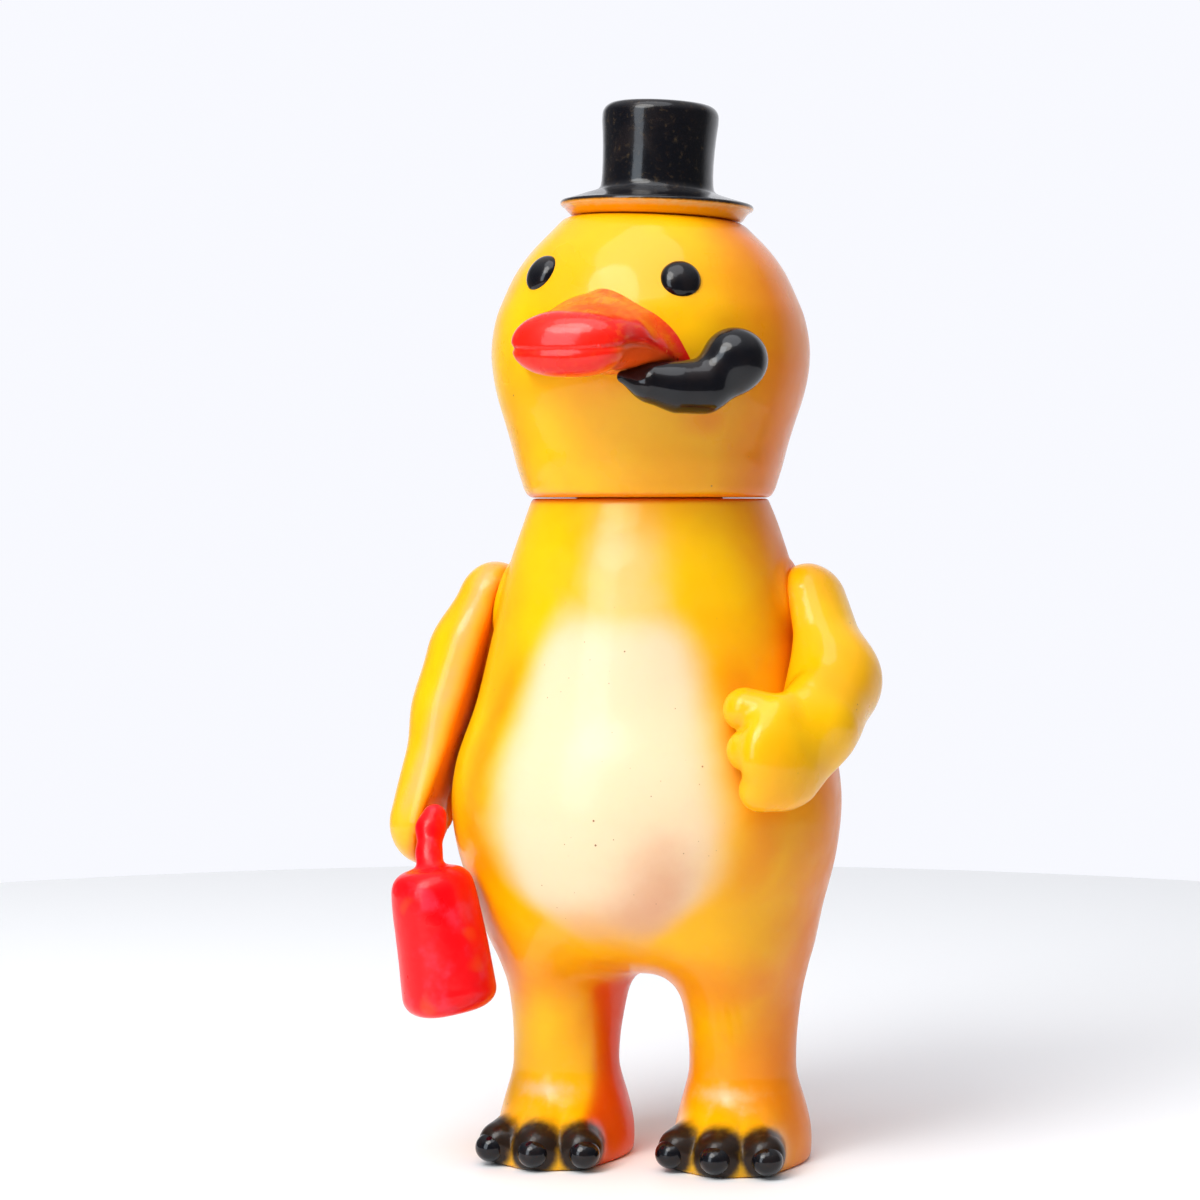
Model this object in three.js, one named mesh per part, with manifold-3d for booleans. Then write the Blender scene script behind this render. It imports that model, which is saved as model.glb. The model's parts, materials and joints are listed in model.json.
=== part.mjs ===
// A standing soft-vinyl toy bird with a top hat, a pipe and a bottle, about 224 mm tall.
// Hollow castings that snap together and turn on flanged plugs: body with legs, head, hat and
// two arms. Beak, pipe, eyes, claws and bottle are castings of their own.
// Millimetres, +Z up. The bird faces -Y, so +X is its left side.
import * as THREE from "three";
import { mergeVertices } from "three/addons/utils/BufferGeometryUtils.js";
import Module from "manifold-3d";

const wasm = await Module();
wasm.setup();

// ---------------------------------------------------------------- driving dimensions

const WALL = 2.4; // thickness of every hollow casting
const GAP = 0.3; // clearance between any two castings
const GLUE_GAP = 0.32; // clearance of a piece set into its socket
const FACET_MERGE = 0.1; // facets flatter than this are merged
const FLOOR = 4.4; // the height that the soles stand at; feet are measured from it, all else from 0

// Half-widths of the body up its height, from the crotch to the neck seam: [radius, z].
const BODY_PROFILE = [
  [0, 40.5], [14, 40.9], [25, 42.6], [31.2, 46.4], [34.4, 51], [37.4, 58], [39.7, 65],
  [41.3, 73], [41.7, 81], [40.9, 88], [38.6, 95.5], [36.2, 104], [33.9, 114], [31.7, 124],
  [29.9, 131.5], [27.6, 138], [25.6, 143.2],
];
const BODY_TOP = 144.2; // the neck seam
const BODY_TOP_RADIUS = 25.1;
const BODY_DEPTH = 0.88; // depth of the body against its width
const BELLY = { forward: 2.5, z: 78, spread: 30 }; // how far and where the belly bulges

// Half-widths of the head up its height, from the neck seam to the crown.
const HEAD_BOTTOM = BODY_TOP + 0.4;
const HEAD_PROFILE = [
  [24.4, HEAD_BOTTOM], [26.2, 145.7], [27.4, 148.6], [28.8, 153], [30.4, 158.6], [31.9, 164],
  [33.2, 169.3], [33.9, 174.6], [33.6, 180], [32.2, 184.8], [29.9, 189.6], [26.6, 194.8],
  [22.4, 199.7], [17.5, 203.8], [9, 207.6], [0, 208.8],
];
const HEAD_DEPTH = 0.96;
const FACE_TURN = -2.5; // degrees that the face looks to the bird's right of straight ahead

// The neck joint: a post on the body with a lip that snaps through the head's floor.
const NECK = { post: 15, bore: 11.5, lip: 17.6, lipHeight: 2 };

// The hat, about its own axis: the seat on the head is its z = 0.
const HAT_SEAT = { x: 1.3, y: 0, z: 203 };
const HAT_TILT = 2.6; // degrees towards the bird's left
const HAT = {
  seatRadius: 18.3, rimRadius: 20.4, rimBottom: 2.5, rimTop: 3.7,
  crownBase: 7.4, crownRadius: 11.7, crownTopRadius: 12.5, height: 24.8, corner: 2.6,
  plug: 8, lip: 9.5, lipHeight: 1.6,
};

// Arms turn on plugs whose axes lean with the sides of the body.
const SHOULDER = { x: 32.1, z: 123, lean: 14.5 };
const ARM_PLUG = { radius: 4.5, reach: 4.4, lip: 6.1, lipHeight: 1.6 };
const ARM_OUT = 6.3; // from the arm's flat face to its centreline
const ARM_RADIUS = 8.7;
const ARM_FLAT = 0.86; // thickness of the upper arm against its depth
const ARM_WALL = 3.2;

// Legs and feet. Each foot is laid out about the foot of its leg.
const LEGS = {
  right: { x: -17.6, y: -3.2 },
  left: { x: 20.1, y: 2.4 },
};
// Half-widths of a leg up its height: [radius, z]. It deepens and centres itself under the belly.
const LEG_PROFILE = [
  [0, 6.4], [9, 7.4], [12, 11], [12.2, 16.5], [11.5, 22.5], [11.3, 28.5], [11.9, 34.5], [13.1, 40],
  [13.9, 46], [13.4, 53], [9, 59], [0, 61],
];
const HIP = { from: 24, to: 50, depth: 1.62 };
const FOOT = { width: 15, length: 18.5, height: 15.5, forward: 5, heelRadius: 13, heelBack: 1.5 };
const TOE = { fan: 28, start: 8, reach: 19.2, radius: 5.1, z: 5.2 };
const CLAW = { reach: 21.8, z: 4.95, width: 3.9, height: 3.9, length: 4.6, droop: 14 };
const SOLE_WALL = 2.8;

// Face. Places on the head are an azimuth from straight ahead (+ to the bird's left) and a height.
const EYES = {
  right: { azimuth: -34.5, z: 190.8 },
  left: { azimuth: 30, z: 188.4 },
};
const EYE = { radius: 3.85, thickness: 2.5, sink: 0.75 };
const BEAK = {
  back: -26.5, length: 26, halfWidth: 19.6, taper: 0.42, square: 2.8, // in plan
  mouthZ: 171.4, rise: 15.9, tipRise: 0.66, fall: 3.6, tipLift: 1.6, blunt: 0.6, // from the side
};
const BEAK_PEG = { radius: 4, z: 175, inner: -24, outer: -36 };

// Pipe: a row of balls from the mouthpiece to the bowl, [x, y, z, radius].
const PIPE_LINE = [
  [6, -38, 168.3, 1.2], [11, -36.4, 167, 3.1], [17, -33.2, 166.4, 4.6], [22.4, -29.8, 167.2, 5.4],
  [26, -26.8, 172, 6.8],
];
const PIPE_PEG = { radius: 2, from: [25, -27, 170], to: [18.5, -19.5, 170] };

// Left arm: elbow, wrist and hand in front of the belly.
const ELBOW = { at: [43, -7.5, 107.2], radius: 9.8 };
const WRIST = { at: [41.6, -19.5, 99], radius: 9.6 };
const HAND = { at: [36.8, -28.2, 92.6], radius: 10.9, thin: 0.55 };
const FINGER = { radius: 3.9, tips: [[28.8, -29, 101.8], [30, -30.8, 93.7], [32.6, -31.6, 85.8]] };
const ARM_TO_BELLY = 0.7;

// Right arm: it hangs a little forward beside the belly, and its hand grips the bottle's neck.
// Distances from the shoulder: [down, forward, radius].
const RIGHT_ARM_LINE = [[1.5, 0, 8.6], [26, 4.5, 8.4], [50, 11, 9.2]];

// Bottle, about its own axis from its base up: [radius, z].
const BOTTLE_AT = { x: -34.5, y: -27.8, z: 37.3, tiltX: 2.8, tiltY: -8.1 };
const BOTTLE_PROFILE = [
  [0, 0], [6.8, 0], [8.8, 0.9], [9.8, 3], [9.9, 6], [9.6, 12], [9.2, 18], [8.9, 23.5],
  [8.3, 26.8], [6.6, 29.2], [3.8, 30.6], [0, 31.2],
];
// The neck rises and leans back against the hand: [x, y, z, radius].
const BOTTLE_NECK = [[-0.5, 1, 28, 3.3], [-1.4, 4, 33, 2.5], [-1.5, 7.2, 37.8, 2.9], [-0.8, 8.6, 40, 2.6]];
const BOTTLE_PEG = { radius: 1.6, length: 8, channel: 0.8 };

// Finish of each kind of surface.
const FINISHES = {
  yellow: { color: 0xf7b500, roughness: 0.25, metalness: 0 },
  black: { color: 0x0b0b10, roughness: 0.12, metalness: 0 },
  beakRed: { color: 0xe8290f, roughness: 0.22, metalness: 0 },
  bottleRed: { color: 0xe60914, roughness: 0.25, metalness: 0 },
};

// ---------------------------------------------------------------- solids

const radians = THREE.MathUtils.degToRad;
const vector = ([x, y, z]) => new THREE.Vector3(x, y, z);

function solidOf(geometry) {
  const bare = geometry.clone();
  bare.deleteAttribute("normal");
  bare.deleteAttribute("uv");
  const merged = mergeVertices(bare, 1e-4);
  return new wasm.Manifold(new wasm.Mesh({
    numProp: 3,
    vertProperties: merged.attributes.position.array,
    triVerts: new Uint32Array(merged.index.array),
  }));
}

function geometryOf(solid) {
  const mesh = solid.simplify(FACET_MERGE).getMesh();
  const geometry = new THREE.BufferGeometry();
  const points = new Float32Array(mesh.numVert * 3);
  for (let i = 0; i < mesh.numVert; i++) {
    points.set(mesh.vertProperties.subarray(i * mesh.numProp, i * mesh.numProp + 3), i * 3);
  }
  geometry.setAttribute("position", new THREE.BufferAttribute(points, 3));
  geometry.setIndex(new THREE.BufferAttribute(mesh.triVerts, 1));
  geometry.computeVertexNormals();
  return geometry;
}

const join = (...solids) => solids.flat().reduce((a, b) => a.add(b));
const cut = (solid, ...tools) => tools.flat().reduce((a, b) => a.subtract(b), solid);
const placed = (solid, object) => {
  object.updateMatrix();
  return solid.transform(object.matrix.elements);
};

// A ball of the given half-sizes, along its own axes, placed and turned by an Object3D or a point.
function ball(radii, at, around = 16, up = 10) {
  const geometry = new THREE.SphereGeometry(1, around, up);
  geometry.rotateX(Math.PI / 2);
  const place = at.isObject3D ? at.clone() : new THREE.Object3D();
  if (!at.isObject3D) place.position.copy(vector(at));
  place.scale.set(...radii);
  place.updateMatrix();
  return solidOf(geometry.applyMatrix4(place.matrix));
}

// A profile of [radius, z] turned about Z.
function turned(profile, segments = 26) {
  const points = profile.map(([r, z]) => new THREE.Vector2(r, z));
  const geometry = new THREE.LatheGeometry(points, segments);
  return geometry.rotateX(Math.PI / 2);
}

// A cylinder between two points.
function rod(from, to, radius, segments = 16) {
  const [a, b] = [vector(from), vector(to)];
  const along = b.clone().sub(a);
  const geometry = new THREE.CylinderGeometry(radius, radius, along.length(), segments);
  const turn = new THREE.Quaternion().setFromUnitVectors(new THREE.Vector3(0, 1, 0), along.normalize());
  geometry.applyQuaternion(turn);
  const middle = a.add(b).multiplyScalar(0.5);
  return solidOf(geometry.translate(middle.x, middle.y, middle.z));
}

// Two balls and the cone that touches both, flattened across its line towards `thinAxis`.
function limb(from, to, fromRadius, toRadius, options = {}) {
  const { segments = 18, thin = 1, thinAxis = new THREE.Vector3(1, 0, 0), caps = 4 } = options;
  const [a, b] = [vector(from), vector(to)];
  const along = b.clone().sub(a);
  const length = along.length();
  const touch = Math.asin((fromRadius - toRadius) / length);
  const arc = (radius, z, start, end, steps) => Array.from({ length: steps + 1 }, (_, i) => {
    const angle = start + ((end - start) * i) / steps;
    const onAxis = Math.abs(Math.abs(angle) - Math.PI / 2) < 1e-9;
    return [onAxis ? 0 : radius * Math.cos(angle), z + radius * Math.sin(angle)];
  });
  const profile = [
    ...arc(fromRadius, 0, -Math.PI / 2, touch, caps),
    ...arc(toRadius, length, touch, Math.PI / 2, caps),
  ];
  const geometry = turned(profile, segments);
  const z = along.normalize();
  const x = thinAxis.clone().addScaledVector(z, -thinAxis.dot(z)).normalize();
  const y = z.clone().cross(x);
  geometry.scale(thin, 1, 1);
  geometry.applyMatrix4(new THREE.Matrix4().makeBasis(x, y, z).setPosition(a));
  return solidOf(geometry);
}

// Everything on the far side of the plane through `point` with that normal.
function halfSpace(point, normal, size = 260) {
  const geometry = new THREE.BoxGeometry(size, size, size).translate(0, 0, size / 2);
  geometry.applyQuaternion(new THREE.Quaternion().setFromUnitVectors(new THREE.Vector3(0, 0, 1), normal));
  return solidOf(geometry.translate(point.x, point.y, point.z));
}

// A profile cut off below `floor` and above `roof`, with a point on each cut.
function clipped(line, floor, roof) {
  const radiusAt = (z) => {
    const above = line.findIndex((p) => p[1] > z);
    const [a, b] = [line[above - 1], line[above]];
    return a[0] + ((b[0] - a[0]) * (z - a[1])) / (b[1] - a[1]);
  };
  const kept = line.filter(([, z]) => z > floor && z < roof);
  if (line[0][1] < floor) kept.unshift([0, floor], [radiusAt(floor), floor]);
  if (line.at(-1)[1] > roof) kept.push([radiusAt(roof), roof], [0, roof]);
  return kept;
}

// The form of a hollow casting, turned from a profile: `inset` moves it in from the outside.
function profileSolid(profile, options) {
  const { steps, segments, depth, inset = 0, bulge = () => 0, floor = -999, roof = 999 } = options;
  const spline = new THREE.SplineCurve(profile.map(([r, z]) => new THREE.Vector2(r, z)));
  const line = spline.getSpacedPoints(steps);
  const offset = line.map((p, i) => {
    const tangent = line[Math.min(i + 1, steps)].clone().sub(line[Math.max(i - 1, 0)]).normalize();
    return [Math.max(0, p.x - tangent.y * inset), p.y + tangent.x * inset];
  });
  const ring = clipped(offset, floor, roof);
  if (ring[0][0] > 0) ring.unshift([0, ring[0][1]]);
  if (ring.at(-1)[0] > 0) ring.push([0, ring.at(-1)[1]]);
  const geometry = turned(ring, segments);
  const position = geometry.attributes.position;
  for (let i = 0; i < position.count; i++) {
    position.setY(i, position.getY(i) * depth - bulge(position.getZ(i)));
  }
  return solidOf(geometry);
}

const bellyBulge = (z) => BELLY.forward * Math.exp(-(((z - BELLY.z) / BELLY.spread) ** 2));

// ---------------------------------------------------------------- body with legs and feet

function torso(inset, steps, segments) {
  return profileSolid([...BODY_PROFILE, [BODY_TOP_RADIUS, BODY_TOP]], {
    steps, segments, inset, depth: BODY_DEPTH, bulge: bellyBulge,
    roof: inset > 0 ? BODY_TOP - WALL : undefined,
  });
}

const onFoot = ({ x, y }, dx, dy, z) => [x + dx, y + dy, FLOOR + z];

// The point `reach` out from the leg, along the toe with that angle.
function alongToe(leg, angle, reach, z) {
  return onFoot(leg, reach * Math.sin(radians(angle)), -reach * Math.cos(radians(angle)), z);
}

// A leg from the foot up into the belly, `inset` from its outside.
function legColumn(leg, inset, steps, segments, floor) {
  const profile = LEG_PROFILE.map(([r, z]) => new THREE.Vector2(r, z));
  const line = new THREE.SplineCurve(profile).getSpacedPoints(steps);
  const moved = line.map((p) => [Math.max(p.x - inset, 0), p.y]);
  const inner = moved.filter(([, z]) => floor === undefined || z > floor);
  if (inner[0][0] > 0) inner.unshift([0, inner[0][1]]);
  const geometry = turned(inner.filter(([r], i) => r > 0 || i === 0 || i === inner.length - 1), segments);
  const position = geometry.attributes.position;
  for (let i = 0; i < position.count; i++) {
    const hip = THREE.MathUtils.smoothstep(position.getZ(i), HIP.from, HIP.to);
    const deeper = 1 + (HIP.depth - 1) * hip;
    position.setX(i, leg.x + position.getX(i));
    position.setY(i, leg.y * (1 - hip) + position.getY(i) * deeper);
  }
  return solidOf(geometry);
}

function legAndFoot(leg) {
  const toes = [-1, 0, 1].map((side) => {
    const angle = side * TOE.fan;
    return limb(alongToe(leg, angle, TOE.start, TOE.z + 2), alongToe(leg, angle, TOE.reach, TOE.z),
      TOE.radius + 0.8, TOE.radius, { segments: 10, caps: 2 });
  });
  return join(
    legColumn(leg, 0, 12, 16),
    ball([FOOT.width, FOOT.length, FOOT.height], onFoot(leg, 0, -FOOT.forward, 0.5)),
    ball([FOOT.heelRadius, FOOT.heelRadius, FOOT.heelRadius], onFoot(leg, 0, FOOT.heelBack, 6)),
    toes,
  );
}

function legHollow(leg) {
  const halfSizes = [FOOT.width - 3, FOOT.length - 3, FOOT.height - 3];
  const foot = ball(halfSizes, onFoot(leg, 0, -FOOT.forward, 0.5), 12, 6);
  const sole = halfSpace(new THREE.Vector3(0, 0, FLOOR + SOLE_WALL), new THREE.Vector3(0, 0, -1));
  return join(legColumn(leg, WALL + 0.3, 8, 12, FLOOR + 8), cut(foot, sole));
}

const CLAW_PLACES = Object.entries(LEGS).flatMap(([side, leg]) => [-1, 0, 1].map((toe) => {
  const angle = toe * TOE.fan;
  const place = new THREE.Object3D();
  place.position.copy(vector(alongToe(leg, angle, CLAW.reach, CLAW.z)));
  place.rotation.set(radians(CLAW.droop), 0, radians(angle), "ZXY");
  const outward = side === "left" ? toe : -toe;
  const which = { "-1": "inner", 0: "middle", 1: "outer" }[outward];
  return { name: `${side}_${which}_claw`, place };
}));

const clawBall = (place, grow = 0) =>
  ball([CLAW.width + grow, CLAW.length + grow, CLAW.height + grow], place, 10, 8);

function shoulderFrame(side) {
  const sign = side === "left" ? 1 : -1;
  const lean = radians(SHOULDER.lean);
  const out = new THREE.Vector3(sign * Math.cos(lean), 0, Math.sin(lean));
  const down = new THREE.Vector3(sign * Math.sin(lean), 0, -Math.cos(lean));
  const pivot = new THREE.Vector3(sign * SHOULDER.x, 0, SHOULDER.z);
  const at = (outward, downward, forward = 0) =>
    pivot.clone().addScaledVector(out, outward).addScaledVector(down, downward)
      .add(vector([0, -forward, 0])).toArray();
  return { out, pivot, at };
}

function bodyShell() {
  const belowFloor = halfSpace(new THREE.Vector3(0, 0, FLOOR), new THREE.Vector3(0, 0, -1));
  const outside = join(torso(0, 20, 30), Object.values(LEGS).map(legAndFoot));
  const lipZ = HEAD_BOTTOM + WALL + GAP;
  const post = turned([
    [0, BODY_TOP - 1], [NECK.post, BODY_TOP - 1], [NECK.post, lipZ], [NECK.lip, lipZ],
    [NECK.lip - 0.8, lipZ + NECK.lipHeight], [0, lipZ + NECK.lipHeight],
  ]);
  const bore = rod([0, 0, BODY_TOP - 8], [0, 0, lipZ + 10], NECK.bore, 28);
  const armHoles = ["left", "right"].map((side) => {
    const { at } = shoulderFrame(side);
    return rod(at(3, 0), at(-9, 0), ARM_PLUG.radius + GAP, 18);
  });
  const claws = CLAW_PLACES.map(({ place }) => clawBall(place, GLUE_GAP));
  return cut(
    join(cut(outside, belowFloor), solidOf(post)),
    torso(WALL, 12, 20), Object.values(LEGS).map(legHollow), bore, armHoles, claws,
  );
}

// ---------------------------------------------------------------- head, face and hat

// The point at an azimuth and height, `out` from the surface of the head, with its outward heading.
function onHead(azimuth, z, out) {
  const line = new THREE.SplineCurve(HEAD_PROFILE.map(([r, h]) => new THREE.Vector2(r, h))).getPoints(400);
  const nearest = line.reduce((best, p) => (Math.abs(p.y - z) < Math.abs(best.y - z) ? p : best));
  const index = line.indexOf(nearest);
  const slope = line[index + 1].clone().sub(line[index - 1]);
  const place = new THREE.Object3D();
  const turn = radians(azimuth);
  const pitch = Math.atan2(-slope.x, slope.y);
  const direction = new THREE.Vector3(
    Math.sin(turn) * Math.cos(pitch), -Math.cos(turn) * Math.cos(pitch), Math.sin(pitch));
  place.position.set(nearest.x * Math.sin(turn), -nearest.x * HEAD_DEPTH * Math.cos(turn), nearest.y);
  place.position.addScaledVector(direction, out);
  place.quaternion.setFromUnitVectors(new THREE.Vector3(0, 0, 1), direction);
  return place;
}

const headForm = (inset, steps, segments) => profileSolid(HEAD_PROFILE, {
  steps, segments, inset, depth: HEAD_DEPTH,
  floor: inset > 0 ? HEAD_BOTTOM + WALL : undefined,
});

const hatPlace = new THREE.Object3D();
hatPlace.position.set(HAT_SEAT.x, HAT_SEAT.y, HAT_SEAT.z);
hatPlace.rotation.y = radians(HAT_TILT);

const EYE_PLACES = Object.fromEntries(Object.entries(EYES).map(([side, { azimuth, z }]) =>
  [side, onHead(azimuth, z, -EYE.sink)]));
const eyeBall = (place, grow = 0) =>
  ball([EYE.radius + grow, EYE.radius + grow, EYE.thickness + grow], place, 16, 8);

function beakPeg(grow) {
  return rod([0, BEAK_PEG.inner, BEAK_PEG.z], [0, BEAK_PEG.outer, BEAK_PEG.z], BEAK_PEG.radius + grow, 18);
}

// The bill: blunt and tapering in plan, sloping down from the bridge, and shallow below the mouth.
function billForm(grow) {
  const geometry = new THREE.SphereGeometry(1, 20, 12);
  geometry.rotateX(Math.PI / 2);
  const position = geometry.attributes.position;
  for (let i = 0; i < position.count; i++) {
    const [x, y] = [position.getX(i), position.getY(i)];
    const z = Math.sign(position.getZ(i)) * Math.abs(position.getZ(i)) ** BEAK.blunt;
    const flat = Math.hypot(x, y);
    const corner = (Math.abs(x) ** BEAK.square + Math.abs(y) ** BEAK.square) ** (1 / BEAK.square) || 1;
    const along = (-y * flat) / corner; // 0 at the face, 1 at the tip
    const height = z > 0 ? BEAK.rise * (1 - BEAK.tipRise * Math.max(along, 0)) : BEAK.fall;
    position.setX(i, ((x * flat) / corner) * (BEAK.halfWidth * (1 - BEAK.taper * Math.max(along, 0)) + grow));
    position.setY(i, BEAK.back - along * (BEAK.length + grow));
    position.setZ(i, BEAK.mouthZ + BEAK.tipLift * Math.max(along, 0) + z * (height + grow));
  }
  return solidOf(geometry);
}

const faceTurn = new THREE.Object3D();
faceTurn.rotation.z = radians(FACE_TURN);

function pipeForm(grow) {
  const parts = PIPE_LINE.slice(1).map(([x, y, z, r], i) => {
    const [px, py, pz, pr] = PIPE_LINE[i];
    return limb([px, py, pz], [x, y, z], pr + grow, r + grow, { segments: 12, caps: 3 });
  });
  return join(parts);
}

const pipePeg = (grow) => rod(PIPE_PEG.from, PIPE_PEG.to, PIPE_PEG.radius + grow, 14);

function headShell() {
  const up = new THREE.Vector3(0, 0, 1).applyEuler(hatPlace.rotation);
  const aboveSeat = halfSpace(hatPlace.position, up);
  const roof = halfSpace(hatPlace.position.clone().addScaledVector(up, -WALL), up);
  const floorHole = rod([0, 0, HEAD_BOTTOM - 5], [0, 0, HEAD_BOTTOM + WALL + 2], NECK.post + GAP, 32);
  const hatHole = placed(rod([0, 0, -6], [0, 0, 6], HAT.plug + GAP, 24), hatPlace);
  return cut(
    cut(headForm(0, 20, 30), aboveSeat),
    cut(headForm(WALL, 12, 20), roof),
    floorHole, hatHole,
    placed(beakPeg(GLUE_GAP), faceTurn), pipePeg(GLUE_GAP),
    Object.values(EYE_PLACES).map((place) => eyeBall(place, GLUE_GAP)),
  );
}

function beak() {
  const form = placed(join(billForm(0), beakPeg(0)), faceTurn);
  const bill = cut(placed(billForm(0), faceTurn), headForm(-GLUE_GAP, 20, 30));
  return join(bill, form.intersect(placed(beakPeg(0), faceTurn)));
}

function pipe() {
  const stem = cut(pipeForm(0), headForm(-GLUE_GAP, 20, 30), placed(billForm(GLUE_GAP), faceTurn));
  return join(stem, pipePeg(0));
}

function topHat() {
  const corner = Array.from({ length: 5 }, (_, i) => {
    const angle = (Math.PI / 2) * (i / 4);
    return [
      HAT.crownTopRadius - HAT.corner + HAT.corner * Math.cos(angle),
      HAT.height - HAT.corner + HAT.corner * Math.sin(angle),
    ];
  });
  const inner = HAT.plug - WALL;
  const lipZ = -WALL - GAP;
  return turned([
    [inner, lipZ - HAT.lipHeight], [HAT.lip - 0.6, lipZ - HAT.lipHeight], [HAT.lip, lipZ], [HAT.plug, lipZ],
    [HAT.plug, GAP], [HAT.seatRadius, GAP],
    [HAT.seatRadius + 0.5, 1.2], [HAT.rimRadius - 0.3, HAT.rimBottom],
    [HAT.rimRadius, (HAT.rimBottom + HAT.rimTop) / 2],
    [HAT.rimRadius - 0.4, HAT.rimTop], [16.4, 5.3], [13.2, 6.6], [HAT.crownRadius + 0.3, HAT.crownBase],
    [HAT.crownRadius, HAT.crownBase + 1.2], [HAT.crownRadius + 0.15, 15], ...corner,
    [0, HAT.height], [0, HAT.height - WALL], [HAT.crownRadius - WALL, HAT.height - WALL],
    [HAT.crownRadius - WALL, 9], [inner, 5], [inner, lipZ - HAT.lipHeight],
  ], 24);
}

// ---------------------------------------------------------------- arms and bottle

function armPlug(at) {
  const { radius, reach, lip, lipHeight } = ARM_PLUG;
  return join(
    rod(at(2, 0), at(-reach - lipHeight, 0), radius, 18),
    rod(at(-reach, 0), at(-reach - lipHeight, 0), lip, 20),
  );
}

const armChannel = (at) => rod(at(ARM_OUT, 0), at(-ARM_PLUG.reach - 4, 0), ARM_PLUG.radius - 1.7, 14);

function leftArm() {
  const { out, pivot, at } = shoulderFrame("left");
  const shoulder = at(ARM_OUT, 1.5);
  const flattened = { thin: ARM_FLAT, thinAxis: out, segments: 20 };
  const upper = cut(
    limb(shoulder, ELBOW.at, ARM_RADIUS, ELBOW.radius, flattened),
    halfSpace(pivot.clone().addScaledVector(out, GAP), out.clone().negate()),
  );
  const outward = vector(HAND.at).setZ(0).normalize();
  const palm = limb(WRIST.at, HAND.at, WRIST.radius, HAND.radius,
    { thin: HAND.thin, thinAxis: outward, segments: 18 });
  const fingers = FINGER.tips.map((tip) => {
    const root = vector(HAND.at).lerp(vector(tip), 0.25).setZ(tip[2] * 0.8 + HAND.at[2] * 0.2);
    return limb(root.toArray(), tip, FINGER.radius + 0.4, FINGER.radius, { segments: 12, caps: 3 });
  });
  const forearm = limb(ELBOW.at, WRIST.at, ELBOW.radius, WRIST.radius * 0.86, { segments: 18 });
  const form = join(upper, forearm, palm, fingers);
  const hollow = join(
    limb(shoulder, ELBOW.at, ARM_RADIUS - ARM_WALL, ELBOW.radius - ARM_WALL,
      { thin: ARM_FLAT, thinAxis: out, segments: 12, caps: 3 }),
    limb(ELBOW.at, WRIST.at, ELBOW.radius - ARM_WALL, 4.6, { segments: 12, caps: 3 }),
  );
  const belly = torso(-ARM_TO_BELLY, 20, 30);
  return cut(join(cut(form, belly), armPlug(at)), hollow, armChannel(at));
}

function rightArm(bottleSolid) {
  const { out, pivot, at } = shoulderFrame("right");
  const lengths = (thinner, options) => join(RIGHT_ARM_LINE.slice(1).map(([down, forward, radius], i) => {
    const [startDown, startForward, startRadius] = RIGHT_ARM_LINE[i];
    return limb(at(ARM_OUT, startDown, startForward), at(ARM_OUT, down, forward),
      startRadius - thinner, radius - thinner, { thin: ARM_FLAT, thinAxis: out, ...options });
  }));
  const form = cut(
    lengths(0, { segments: 20 }),
    halfSpace(pivot.clone().addScaledVector(out, GAP), out.clone().negate()),
  );
  const hollow = lengths(ARM_WALL, { segments: 12, caps: 3 });
  return cut(join(form, armPlug(at)), hollow, armChannel(at), bottleSolid);
}

const bottlePlace = new THREE.Object3D();
bottlePlace.position.set(BOTTLE_AT.x, BOTTLE_AT.y, BOTTLE_AT.z);
bottlePlace.rotation.set(radians(BOTTLE_AT.tiltX), radians(BOTTLE_AT.tiltY), 0);

function bottleForm(grow) {
  const flask = profileSolid(BOTTLE_PROFILE, { steps: 12, segments: 18, depth: 1, inset: -grow });
  const neck = BOTTLE_NECK.slice(1).map(([x, y, z, r], i) => {
    const [px, py, pz, pr] = BOTTLE_NECK[i];
    return limb([px, py, pz], [x, y, z], pr + grow, r + grow, { segments: 12, caps: 3 });
  });
  return join(flask, neck);
}

// The peg runs back from the neck into the hand, and the pour channel runs up through both.
function bottlePeg(grow) {
  const [, , z] = BOTTLE_NECK[2];
  const [x, y] = BOTTLE_NECK[2];
  return rod([x, y, z], [x, y + BOTTLE_PEG.length + grow, z], BOTTLE_PEG.radius + grow, 12);
}

function bottle() {
  const [x, y, z] = BOTTLE_NECK[2];
  const hollow = profileSolid(BOTTLE_PROFILE, { steps: 8, segments: 12, depth: 1, inset: WALL });
  const channel = join(
    rod([0, 0, 24], [x, y, z], BOTTLE_PEG.channel, 8),
    rod([x, y, z], [x, y + BOTTLE_PEG.length + 2, z], BOTTLE_PEG.channel, 8),
  );
  return cut(join(bottleForm(0), bottlePeg(0)), hollow, channel);
}

// ---------------------------------------------------------------- the figure

const materials = Object.fromEntries(Object.entries(FINISHES).map(([name, finish]) =>
  [name, new THREE.MeshStandardMaterial(finish)]));

function piece(name, geometry, finish, place) {
  const mesh = new THREE.Mesh(geometry, materials[finish]);
  mesh.name = name;
  if (place) {
    mesh.position.copy(place.position);
    mesh.quaternion.copy(place.quaternion);
  }
  return mesh;
}

const handSocket = placed(join(bottleForm(0.45), bottlePeg(0.35)), bottlePlace);
const atOrigin = new THREE.Object3D();

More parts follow.
